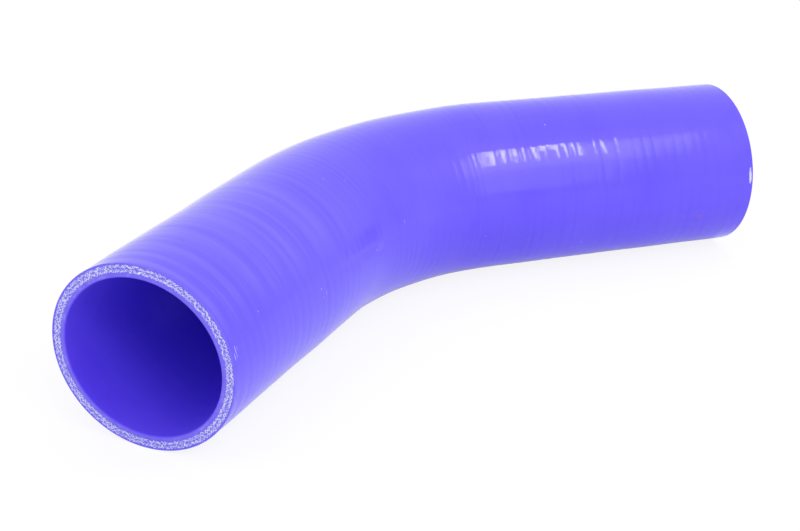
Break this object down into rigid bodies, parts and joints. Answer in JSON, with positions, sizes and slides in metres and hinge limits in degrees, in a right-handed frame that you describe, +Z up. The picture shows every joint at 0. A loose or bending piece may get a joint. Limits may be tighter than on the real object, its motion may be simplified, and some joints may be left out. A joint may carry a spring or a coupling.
{
  "type": "coolant hose coupler",
  "caption": "Thick-walled silicone hose elbow with straight legs either side of a 45 degree bend, open at both ends, that joins coolant pipes.",
  "frame": {"origin": "middle of the hose's bounding box, on the surface it lies on", "axes": "+X along the far leg's axis, out of the far mouth; +Z up, square to the plane of the bend; the near leg turns away from +X towards -Y"},
  "size_m": [0.2642, 0.1526, 0.06],
  "materials": {
    "silicone": "glossy blue-violet silicone with fine wrap lines"
  },
  "bodies": {
    "root": {"elbow_hose": "silicone"}
  },
  "joints": []
}
